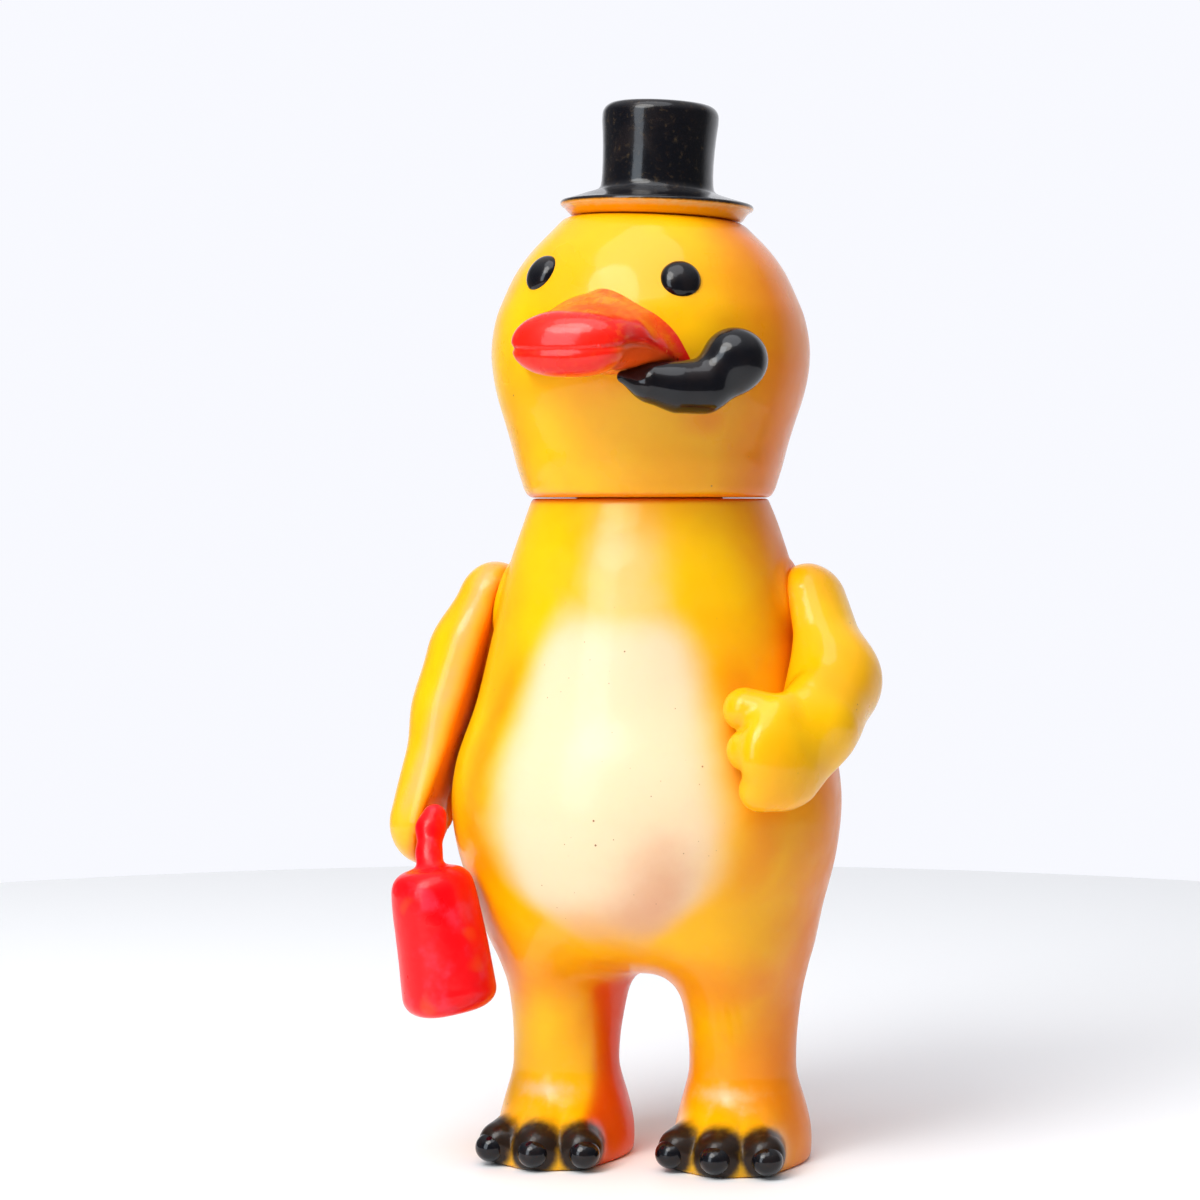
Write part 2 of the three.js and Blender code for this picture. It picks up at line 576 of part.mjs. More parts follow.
const figure = new THREE.Group();
figure.add(
  piece("body_shell", geometryOf(bodyShell()), "yellow"),
  piece("head_shell", geometryOf(headShell()), "yellow"),
  piece("beak", geometryOf(beak()), "beakRed"),
  piece("pipe", geometryOf(pipe()), "black"),
  piece("top_hat", topHat(), "black", hatPlace),
  piece("left_arm", geometryOf(leftArm()), "yellow"),
  piece("right_arm", geometryOf(rightArm(handSocket)), "yellow"),
  piece("bottle", geometryOf(bottle()), "bottleRed", bottlePlace),
);
for (const [side, place] of Object.entries(EYE_PLACES)) {
  figure.add(piece(`${side}_eye`, geometryOf(eyeBall(atOrigin)), "black", place));
}
for (const { name, place } of CLAW_PLACES) {
  figure.add(piece(name, geometryOf(clawBall(atOrigin)), "black", place));
}

// The part's origin is at the middle of its box, on the floor.
const box = new THREE.Box3().setFromObject(figure);
const middle = box.getCenter(new THREE.Vector3());
figure.position.set(-middle.x, -middle.y, -box.min.z);

const bird = new THREE.Group();
bird.add(figure);

export default bird;
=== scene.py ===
"""A glossy hand-painted soft-vinyl bird with a top hat, bill, cheek pipe and bottle.

Every casting is a smooth field of blended forms, skinned with a fine mesh and airbrushed in the
shader; the airbrushing includes painted shade and painted highlights. Forms are measured in
millimetres in the casting's own frame: the neck turns on x = y = 0, the soles stand at z = FLOOR,
and the bird faces -Y. They become metres when skinned.
"""

import json
import math

import bmesh
import bpy
import numpy as np
from mathutils import Matrix, Vector


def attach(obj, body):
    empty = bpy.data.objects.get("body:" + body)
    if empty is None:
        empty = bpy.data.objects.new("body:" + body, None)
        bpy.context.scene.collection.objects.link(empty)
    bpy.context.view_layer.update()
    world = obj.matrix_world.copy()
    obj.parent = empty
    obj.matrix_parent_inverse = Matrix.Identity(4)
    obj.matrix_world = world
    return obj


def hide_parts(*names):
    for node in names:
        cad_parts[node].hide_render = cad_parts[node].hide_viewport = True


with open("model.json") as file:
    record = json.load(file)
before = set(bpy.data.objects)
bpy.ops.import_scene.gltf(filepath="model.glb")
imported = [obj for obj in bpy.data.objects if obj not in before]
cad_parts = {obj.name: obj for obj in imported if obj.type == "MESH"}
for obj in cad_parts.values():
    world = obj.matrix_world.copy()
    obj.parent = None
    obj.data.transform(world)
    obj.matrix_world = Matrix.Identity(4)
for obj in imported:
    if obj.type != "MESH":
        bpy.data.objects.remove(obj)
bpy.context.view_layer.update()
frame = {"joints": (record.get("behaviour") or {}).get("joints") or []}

# ------------------------------------------------------------------ the frame and its joints

MM = 0.001
joints = {joint["name"]: joint for joint in frame["joints"]}
FLOOR = 4.4  # height of the soles above the casting's own zero
NECK = np.array(joints["head_turn"]["pos_m"]) / MM
ORIGIN = np.array([NECK[0], NECK[1], -FLOOR])  # the casting's own origin in the frame
NECK_Z = NECK[2] + FLOOR
HAT_SEAT = np.array(joints["hat_turn"]["pos_m"]) / MM - ORIGIN
HAT_UP = np.array(joints["hat_turn"]["axis"])
SHOULDERS = {
    side: {
        "pivot": np.array(joints[f"{side}_arm_swing"]["pos_m"]) / MM - ORIGIN,
        "sign": 1 if side == "left" else -1,
    }
    for side in ("left", "right")
}
ARM_LEAN = math.asin(abs(joints["left_arm_swing"]["axis"][2]))

# ------------------------------------------------------------------ forms, in millimetres

# Half-widths up the height: (z, radius).
BODY_CURVE = [
    (30, 30), (36, 30.4), (42.8, 31.2), (46, 32.1), (49.2, 33.7), (55.5, 36.4), (61.9, 38.5),
    (68.3, 40.3), (74.7, 41.4), (81, 41.7), (87.5, 41), (101.3, 36.8), (113, 34.1), (122.6, 32),
    (130, 30.2), (135.3, 28.5), (141.7, 26.3), (144.2, 25.3), (152, 23),
]
BODY_DEPTH = 0.88
BODY_TOP = NECK_Z + 0.2
BELLY_BULGE = 2.5
HEAD_CURVE = [
    (138, 22.5), (144.3, 25.6), (146, 26.6), (148.1, 27.3), (151.3, 28.3), (154.5, 29.1),
    (157.7, 30), (160.9, 31), (164, 32), (167.3, 32.9), (170.4, 33.5), (175, 33.9), (180, 33.4),
    (183.2, 32.6), (186.4, 31.3), (192.8, 28), (196, 25.6), (201, 20.8), (203, 18.8), (208, 12),
]
HEAD_DEPTH = 0.96
HEAD_BOTTOM = NECK_Z + 0.4
FACE_TURN = math.radians(-2.5)
WALL = 2.4
NECK_POST_RADIUS = 15
NECK_HOLE_RADIUS = 15.3
CROTCH = 43.4  # height of the body's underside on the middle line

LEGS = {"right": (-17.6, -3.2), "left": (20.1, 2.4)}
LEG_CURVE = [
    (4, 12.2), (11, 12.4), (17, 12), (23, 11.4), (29, 11.3), (35, 11.7), (41, 12.5), (48, 13.3),
    (58, 13),
]
TOE_ANGLES = {"inner": -28, "middle": 0, "outer": 28}
# Along a toe: (reach from the leg, height above the floor, radius).
TOE_ROOT, TOE_END = (6, 7.4, 6.4), (19.3, 4.5, 4.5)
CLAW_ROOT, CLAW_TIP = (19.6, 4.7, 3.9), (21.8, 3.9, 3.4)

EYES = {"right": (-34.5, 190.8), "left": (28.4, 188.6)}
EYE_RADIUS = 4.2
EYE_DOME = 2.5
EYE_SINK = 0.75

# Balls along a line: (x, y, z, radius). The last one is the pipe's bowl.
PIPE_LINE = [
    (6, -38, 168.3, 1.3), (11, -36.2, 167.2, 3.4), (16, -33.4, 166.4, 4.5),
    (20.5, -30.4, 166.5, 4.8), (26, -26.8, 171.9, 6.7),
]
PIPE_HEEL = ((24.6, -27.8, 169.4), 4.9)

LEFT_SHOULDER = (3.0, 1.5)
ELBOW = ((42, -7.5, 107.2), 9.6)
WRIST = ((41.6, -19.5, 99), 9.4)
HAND = ((36.8, -28.2, 92.6), 10.9)
FINGER_TIPS = [(28.8, -29, 101.8), (30, -30.8, 93.7), (32.6, -31.6, 85.8)]
ARM_THINNESS = 0.86
PLUG_RADIUS = 4.5
SEAT_RADIUS = 7.2
# Distances from the shoulder: (out, down, forward, radius).
RIGHT_ARM_LINE = [(3.2, 1.5, 0, 8.6), (5.0, 14, 2, 8.5), (4.8, 26, 4.5, 8.7), (1.6, 50, 11, 9.6)]

BOTTLE_BASE = np.array([-34.5, -27.8, 37.3])
BOTTLE_TURN = np.array(
    Matrix.Rotation(math.radians(-8.1), 3, "Y") @ Matrix.Rotation(math.radians(2.8), 3, "X")
)
BOTTLE_CURVE = [
    (-4, 9), (0, 9.4), (3, 9.9), (6, 9.9), (12, 9.6), (18, 9.2), (23.5, 8.9), (28, 8.5), (34, 8),
]
BOTTLE_NECK = [(-0.5, 1, 28, 3.3), (-1.4, 4, 33, 2.5), (-1.5, 7.2, 37.8, 2.9), (-0.8, 8.6, 40, 2.6)]


# ------------------------------------------------------------------ fields


def smooth_curve(points):
    """A smooth function through (place, value) points."""
    place, value = np.array(points, float).T
    slope = np.gradient(value, place)

    def at(where):
        where = np.clip(where, place[0], place[-1])
        i = np.clip(np.searchsorted(place, where) - 1, 0, len(place) - 2)
        span = place[i + 1] - place[i]
        t = (where - place[i]) / span
        a, b = value[i], value[i + 1]
        rise = t * t * (3 - 2 * t)
        lean = t * (1 - t) ** 2 * slope[i] * span - t * t * (1 - t) * slope[i + 1] * span
        return a + (b - a) * rise + lean

    return at


def smoothstep(low, high, value):
    t = np.clip((value - low) / (high - low), 0, 1)
    return t * t * (3 - 2 * t)


def blend(a, b, width):
    """The union of two fields, filleted."""
    t = np.clip(0.5 + 0.5 * (b - a) / width, 0, 1)
    return b * (1 - t) + a * t - width * t * (1 - t)


def blend_all(fields, width):
    result = fields[0]
    for field in fields[1:]:
        result = blend(result, field, width)
    return result


def keep(a, b, width):
    """Where two fields overlap, with the edge rounded."""
    return -blend(-a, -b, width)


def ball(p, centre, radii):
    q = (p - centre) / radii
    near = np.linalg.norm(q, axis=1)
    steep = np.linalg.norm(q / radii, axis=1)
    return near * (near - 1) / np.maximum(steep, 1e-9)


def cone(p, a, b, radius_a, radius_b, thin=1.0, across=None):
    """Two balls and the cone between them, thinned along `across`."""
    a, b = np.array(a, float), np.array(b, float)
    q, line = p - a, b - a
    if across is not None:
        across = across - line * (across @ line) / (line @ line)
        across = across / np.linalg.norm(across)
        q = q + np.outer(q @ across, across) * (1 / thin - 1)
    t = np.clip(q @ line / (line @ line), 0, 1)
    return np.linalg.norm(q - t[:, None] * line, axis=1) - (radius_a + (radius_b - radius_a) * t)


def beyond(p, point, normal):
    """Negative behind the plane through `point`, positive beyond it."""
    return (p - point) @ np.array(normal, float)


body_radius = smooth_curve(BODY_CURVE)
head_radius = smooth_curve(HEAD_CURVE)
leg_radius = smooth_curve(LEG_CURVE)


def hand_sculpted(p, size, depth):
    """The gentle unevenness of a form modelled by hand."""
    x, y, z = (p / size).T
    waves = np.sin(x + 1.7 * np.sin(0.6 * z)) * np.sin(1.1 * y + 0.4)
    waves = waves + np.sin(0.9 * z + 1.3 * np.sin(0.7 * x + y))
    return waves * depth * 0.5


# ------------------------------------------------------------------ body, legs and feet


def torso(p):
    x, y, z = p.T
    bulge = BELLY_BULGE * np.exp(-(((z - 78) / 30) ** 2))
    return (np.hypot(x, (y + bulge) / BODY_DEPTH) - body_radius(z)) * 0.93


def along_toe(leg, angle, reach, z):
    turn = math.radians(angle)
    return np.array([leg[0] + reach * math.sin(turn), leg[1] - reach * math.cos(turn), FLOOR + z])


def toe_angles(side):
    """Each claw's name and its toe's angle: the outer toe turns away from the other foot."""
    sign = 1 if side == "left" else -1
    return {which: sign * angle for which, angle in TOE_ANGLES.items()}


def claw_field(leg, angle):
    def field(p):
        turn = math.radians(angle)
        across = np.array([math.sin(turn), -math.cos(turn), 0.55])
        root, tip = along_toe(leg, angle, *CLAW_ROOT[:2]), along_toe(leg, angle, *CLAW_TIP[:2])
        return cone(p, root, tip, CLAW_ROOT[2], CLAW_TIP[2], 0.9, across)

    return field


def foot(p, leg):
    lx, ly = leg
    sole = ball(p, np.array([lx, ly - 4.4, FLOOR + 0.5]), np.array([13.6, 17.6, 12.4]))
    heel = ball(p, np.array([lx, ly + 1.5, FLOOR + 6]), np.array([13, 13, 13]))
    toes = []
    for angle in TOE_ANGLES.values():
        root, end = along_toe(leg, angle, *TOE_ROOT[:2]), along_toe(leg, angle, *TOE_END[:2])
        toes.append(cone(p, root, end, TOE_ROOT[2], TOE_END[2]))
    return blend(blend(sole, heel, 5), blend_all(toes, 0.8), 3)


def leg_column(p, leg):
    x, y, z = p.T
    hip = smoothstep(22, 52, z)
    column = np.hypot(x - leg[0], (y - leg[1] * (1 - hip)) / (1 + 0.66 * hip)) - leg_radius(z)
    return keep(column, z - 56, 6)


def body_field(p):
    x, y, z = p.T
    underside = CROTCH + 0.010 * y * y - z
    form = keep(torso(p), underside, 9)
    form = keep(form, z - BODY_TOP, 0.7)
    columns = [leg_column(p, leg) for leg in LEGS.values()]
    form = blend(form, blend_all(columns, 3), 6)
    for leg in LEGS.values():
        form = blend(form, foot(p, leg), 5)
    form = np.where(z < 24, keep(form, FLOOR - z, 1.2), form)
    for shoulder in SHOULDERS.values():
        form = blend(form, shoulder_seat(p, shoulder), 3.5)
    rough = smoothstep(FLOOR + 2, FLOOR + 12, z) * smoothstep(BODY_TOP, BODY_TOP - 5, z)
    form = form + hand_sculpted(p, 6.5, 0.22) * rough
    post = keep(np.hypot(x, y) - NECK_POST_RADIUS, np.abs(z - 145) - 4.6, 0.6)
    form = blend(form, post, 0.4)
    for shoulder in SHOULDERS.values():
        form = keep(form, -plug(p, shoulder, 0.3), 0.3)
    return form


# ------------------------------------------------------------------ arms


def outward(shoulder):
    return np.array([shoulder["sign"] * math.cos(ARM_LEAN), 0, math.sin(ARM_LEAN)])


def at_shoulder(shoulder, out, down, forward=0.0):
    """A point by its distance out from the body's side, down along it and forward."""
    fall = np.array([shoulder["sign"] * math.sin(ARM_LEAN), 0, -math.cos(ARM_LEAN)])
    return shoulder["pivot"] + out * outward(shoulder) + down * fall + np.array([0, -forward, 0])


def about_line(p, origin, direction):
    """Distances along a line and out from it."""
    q = p - origin
    along = q @ direction
    return along, np.linalg.norm(q - np.outer(along, direction), axis=1)


def plug(p, shoulder, grow=0.0):
    along, around = about_line(p, shoulder["pivot"], outward(shoulder))
    return keep(around - PLUG_RADIUS - grow, np.abs(along + 2) - 4.5 - grow, 0.3)


def shoulder_seat(p, shoulder):
    """The round flat on the body that the top of an arm turns against."""
    along, around = about_line(p, shoulder["pivot"], outward(shoulder))
    return keep(around - SEAT_RADIUS, np.abs(along + 4) - 3.9, 1.5)


def inside_shoulder(p, shoulder):
    """Negative on the body's side of the plane that an arm turns in."""
    return beyond(p, shoulder["pivot"] + 0.3 * outward(shoulder), outward(shoulder))


def left_arm_field(p):
    shoulder = SHOULDERS["left"]
    across = outward(shoulder)
    top = at_shoulder(shoulder, *LEFT_SHOULDER)
    upper = cone(p, top, ELBOW[0], 8.5, ELBOW[1], ARM_THINNESS, across)
    forearm = cone(p, ELBOW[0], WRIST[0], ELBOW[1], WRIST[1] * 0.9)
    from_axis = np.array([HAND[0][0], HAND[0][1], 0])
    palm = cone(p, WRIST[0], HAND[0], WRIST[1], HAND[1], 0.56, from_axis)
    fingers = []
    for tip in FINGER_TIPS:
        knuckle = np.array(HAND[0]) * 0.75 + np.array(tip) * 0.25
        knuckle[2] = tip[2] * 0.8 + HAND[0][2] * 0.2
        fingers.append(cone(p, knuckle, tip, 5.0, 4.35))
    lower = blend(blend(forearm, palm, 4), blend_all(fingers, 0.9), 2.0)
    upper = keep(upper, -inside_shoulder(p, shoulder), 0.6)
    form = blend(upper, lower, 4)
    form = form + hand_sculpted(p, 5, 0.2)
    form = keep(form, 0.7 - torso(p), 1.0)
    return blend(form, plug(p, shoulder), 0.4)


def right_arm_field(p):
    shoulder = SHOULDERS["right"]
    across = outward(shoulder)
    lengths = []
    for start, end in zip(RIGHT_ARM_LINE, RIGHT_ARM_LINE[1:]):
        a, b = at_shoulder(shoulder, *start[:3]), at_shoulder(shoulder, *end[:3])
        lengths.append(cone(p, a, b, start[3], end[3], ARM_THINNESS, across))
    form = blend_all(lengths, 6) + hand_sculpted(p, 6, 0.25)
    form = keep(form, -(bottle_field(p) - 0.15), 0.8)
    in_front = -2 - p[:, 1] - 0.15 * np.maximum(p[:, 2] - 100, 0)
    hugging = keep(torso(p) - 0.35, inside_shoulder(p, shoulder), 0.3)
    behind = keep(inside_shoulder(p, shoulder), -in_front, 1.0)
    form = keep(form, -np.minimum(hugging, behind), 0.7)
    return blend(form, plug(p, shoulder), 0.4)


# ------------------------------------------------------------------ bottle

bottle_radius = smooth_curve(BOTTLE_CURVE)


def bottle_field(p):
    q = (p - BOTTLE_BASE) @ BOTTLE_TURN
    x, y, z = q.T
    flask = np.hypot(x, y) - bottle_radius(z)
    flask = keep(flask, np.abs(z - 15.2) - 15.2, 4.6)
    flask = flask + hand_sculpted(q + 3, 4.2, 0.3)
    neck = [cone(q, a[:3], b[:3], a[3], b[3]) for a, b in zip(BOTTLE_NECK, BOTTLE_NECK[1:])]
    return blend(flask, blend_all(neck, 1.5), 1.3)


# ------------------------------------------------------------------ head and face


def head_form(p):
    x, y, z = p.T
    return (np.hypot(x, y / HEAD_DEPTH) - head_radius(z)) * 0.9


def head_field(p):
    x, y, z = p.T
    outer = head_form(p) + hand_sculpted(p, 8, 0.2)
    outer = keep(outer, HEAD_BOTTOM - z, 0.9)
    outer = keep(outer, beyond(p, HAT_SEAT, HAT_UP), 1.2)
    inner = keep(head_form(p) + WALL, HEAD_BOTTOM + WALL - z, 1)
    inner = keep(inner, beyond(p, HAT_SEAT - WALL * HAT_UP, HAT_UP), 1)
    floor_hole = keep(np.hypot(x, y) - NECK_HOLE_RADIUS, np.abs(z - HEAD_BOTTOM) - 6, 0.5)
    return keep(outer, -blend(inner, floor_hole, 0.3), 0.5)


def on_head(azimuth, z):
    """The point of the head's surface at an azimuth and height, and the way out from it."""
    turn = math.radians(azimuth)
    radius = float(head_radius(np.array([z]))[0])
    point = np.array([radius * math.sin(turn), -radius * HEAD_DEPTH * math.cos(turn), z])
    step = 0.05
    normal = np.array([
        head_form((point + step * axis)[None])[0] - head_form((point - step * axis)[None])[0]
        for axis in np.eye(3)
    ])
    return point, normal / np.linalg.norm(normal)


def eye_field(side):
    point, normal = on_head(*EYES[side])
    centre = point - EYE_SINK * normal

    def field(p):
        along, around = about_line(p, centre, normal)
        return (np.hypot(around / EYE_RADIUS, along / EYE_DOME) - 1) * EYE_DOME * 0.9

    return field


BILL_BACK = 24.0
BILL_TIP = 52.4
BILL_ROUNDING = 5.5  # length over which the tip closes

# Along the bill: its half-width, the heights of its ridge and mouth, and the jaw's depth.
bill_half_width = smooth_curve([
    (24, 19.8), (27, 18.7), (30, 17.4), (34, 15.8), (39, 14), (44, 12.7), (48, 11.9), (53, 11.2),
])
bill_ridge = smooth_curve([
    (24, 187.2), (30, 186.6), (34, 185.4), (38, 183.8), (43, 182.2), (48, 180.9), (53, 180),
])
bill_mouth = smooth_curve([
    (24, 171.4), (30, 171.8), (35, 173.4), (40, 175), (44, 175.2), (49, 174.3), (53, 173.4),
])
bill_jaw = smooth_curve([
    (24, 2.4), (30, 2.8), (35, 4.2), (40, 6.2), (45, 7.0), (49, 6.6), (53, 5.8),
])


def bill_place(p):
    """Distances across the bill and forward along it."""
    c, s = math.cos(FACE_TURN), math.sin(FACE_TURN)
    return p[:, 0] * c + p[:, 1] * s, p[:, 0] * s - p[:, 1] * c


def bill_field(p):
    across, forward = bill_place(p)
    z = p[:, 2]
    mouth = bill_mouth(forward)
    above = z > mouth
    height = np.where(above, bill_ridge(forward) - mouth, bill_jaw(forward))
    power = np.where(above, 1.55 + 0.65 * smoothstep(30, 46, forward), 2.5)
    close = np.clip((forward - (BILL_TIP - BILL_ROUNDING)) / BILL_ROUNDING, 0, None)
    section = np.abs(across / bill_half_width(forward)) ** power
    section = section + np.abs((z - mouth) / height) ** power
    form = ((section + close ** 2.6) ** (1 / power) - 1) * np.minimum(height, 5) * 0.7
    lips = np.exp(-(((z - mouth + 0.6) / 0.6) ** 2)) * smoothstep(34, 44, forward)
    form = keep(form + 0.16 * lips, BILL_BACK - forward, 0.5)
    form = keep(form, -(head_form(p) + 1.6), 0.5)
    return form + hand_sculpted(p, 2.6, 0.12)


def pipe_field(p):
    stem = [cone(p, a[:3], b[:3], a[3], b[3]) for a, b in zip(PIPE_LINE, PIPE_LINE[1:-1])]
    *place, radius = PIPE_LINE[-1]
    bowl = ball(p, np.array(place), np.array([radius, radius, radius * 0.97]))
    stem.append(cone(p, PIPE_LINE[-2][:3], PIPE_HEEL[0], PIPE_LINE[-2][3], PIPE_HEEL[1]))
    form = blend(blend_all(stem, 3), bowl, 2.2) + hand_sculpted(p, 3.4, 0.1)
    return keep(form, -(head_form(p) + 1.5), 0.5)


# ------------------------------------------------------------------ skinning a field

CORNERS = [(i, j, k) for i in (0, 1) for j in (0, 1) for k in (0, 1)]


def surface_net(values):
    """Vertices in grid steps, and quads, where a grid of values changes sign."""
    inside = values < 0
    shape = tuple(n - 1 for n in values.shape)
    count = sum(
        inside[i:i + shape[0], j:j + shape[1], k:k + shape[2]].astype(np.int8)
        for i, j, k in CORNERS
    )
    cells = np.argwhere((count > 0) & (count < 8))
    index = np.full(shape, -1, np.int64)
    index[tuple(cells.T)] = np.arange(len(cells))
    total, crossings = np.zeros((len(cells), 3)), np.zeros(len(cells))
    for corner in CORNERS:
        for axis in range(3):
            if corner[axis]:
                continue
            near = cells + corner
            far = near.copy()
            far[:, axis] += 1
            a, b = values[tuple(near.T)], values[tuple(far.T)]
            crossed = (a < 0) != (b < 0)
            t = np.where(crossed, a / np.where(crossed, a - b, 1), 0)
            place = near.astype(float)
            place[:, axis] += t
            total += place * crossed[:, None]
            crossings += crossed
    quads = []
    for axis in range(3):
        ahead = np.roll(inside, -1, axis)
        changes = np.argwhere(inside != ahead)
        changes = changes[(changes > 0).all(1) & (changes < np.array(shape)).all(1)]
        leaves = inside[tuple(changes.T)]
        u, v = np.eye(3, dtype=int)[(axis + 1) % 3], np.eye(3, dtype=int)[(axis + 2) % 3]
        ring = np.stack([index[tuple((changes - step).T)] for step in (0 * u, u, u + v, v)], axis=1)
        ring[~leaves] = ring[~leaves][:, ::-1]
        quads.append(ring)
    return total / crossings[:, None], np.concatenate(quads)


def slope_of(field, p):
    step = 0.02
    return np.stack([
        (field(p + step * axis) - field(p - step * axis)) / (2 * step) for axis in np.eye(3)
    ], axis=1)


def settle(field, p, reach, rounds):
    """Moves points onto the surface of a field."""
    for _ in range(rounds):
        slope = slope_of(field, p)
        steep = np.maximum((slope ** 2).sum(1), 0.05)
        p = p - slope * np.clip(field(p) / steep, -reach, reach)[:, None]
    return p


def relax(p, quads):
    """Evens out the net: each vertex moves half-way to the middle of its neighbours."""
    total, count = np.zeros_like(p), np.zeros(len(p))
    for a, b in ((0, 1), (1, 2), (2, 3), (3, 0)):
        for one, other in ((quads[:, a], quads[:, b]), (quads[:, b], quads[:, a])):
            for axis in range(3):
                total[:, axis] += np.bincount(one, p[other, axis], len(p))
            count += np.bincount(one, minlength=len(p))
    return 0.5 * p + 0.5 * total / count[:, None]


def to_frame(p):
    return (p + ORIGIN) * MM


def mesh_object(name, p, faces, normals=None):
    mesh = bpy.data.meshes.new(name)
    mesh.from_pydata(to_frame(p).tolist(), [], [list(face) for face in faces])
    mesh.validate()
    mesh.shade_smooth()
    if normals is not None:
        mesh.normals_split_custom_set_from_vertices(normals.tolist())
    obj = bpy.data.objects.new(name, mesh)
    bpy.context.scene.collection.objects.link(obj)
    return obj


def skin(name, field, low, high, step):
    """A mesh of the surface of `field` inside a box."""
    low, high = np.array(low, float), np.array(high, float)
    axes = [np.arange(a, b + step, step) for a, b in zip(low, high)]
    values = np.empty([len(axis) for axis in axes])
    grid_y, grid_z = np.meshgrid(axes[1], axes[2], indexing="ij")
    for i, x in enumerate(axes[0]):
        sheet = np.stack([np.full(grid_y.size, x), grid_y.ravel(), grid_z.ravel()], axis=1)
        values[i] = field(sheet).reshape(grid_y.shape)
    points, quads = surface_net(values)
    points = low + points * step
    for _ in range(2):
        points = settle(field, relax(points, quads), step, 1)
    points = settle(field, points, step, 3)
    normals = slope_of(field, points)
    normals /= np.maximum(np.linalg.norm(normals, axis=1), 1e-9)[:, None]
    return mesh_object(name, points, quads, normals), points


def mask(obj, name, values):
    """A painted mask: one number for each vertex, read by the shader."""
    attribute = obj.data.attributes.new(name, "FLOAT", "POINT")
    attribute.data.foreach_set("value", np.clip(values, 0, 1).astype(np.float32))


# ------------------------------------------------------------------ paint

YELLOW = (0.96, 0.44, 0.0)
SUN_YELLOW = (1.0, 0.56, 0.0)
# Painted shade on the yellow castings.
ORANGE = (0.86, 0.20, 0.0)
CREAM = (0.88, 0.65, 0.40)
PINK_TAN = (0.72, 0.36, 0.20)
TAN = (0.80, 0.52, 0.22)
BARE_ORANGE = (0.93, 0.33, 0.0)
SOOT = (0.016, 0.007, 0.003)
# Deeper painted shade inside the right leg.
DEEP_ORANGE = (0.80, 0.07, 0.0)
SPATTER = (0.25, 0.10, 0.04)
BILL_RED = (0.84, 0.012, 0.004)
BILL_ORANGE = (0.88, 0.09, 0.006)
APEX_ORANGE = (0.86, 0.17, 0.012)
BOTTLE_RED = (0.90, 0.0, 0.004)
# Painted sheen on the bottle, in pink.
BOTTLE_SHEEN_PINK = (0.86, 0.03, 0.06)
BLACK = (0.003, 0.003, 0.005)
BLACK_BROWN = (0.012, 0.008, 0.008)

PAINT_IOR = 1.35
COAT_IOR = 1.4
PAINT_SPECULAR = 0.3
SCATTER_DEPTH = 2.5 * MM
GRAIN_SIZE = 0.5
GRAIN_DEPTH = 0.004


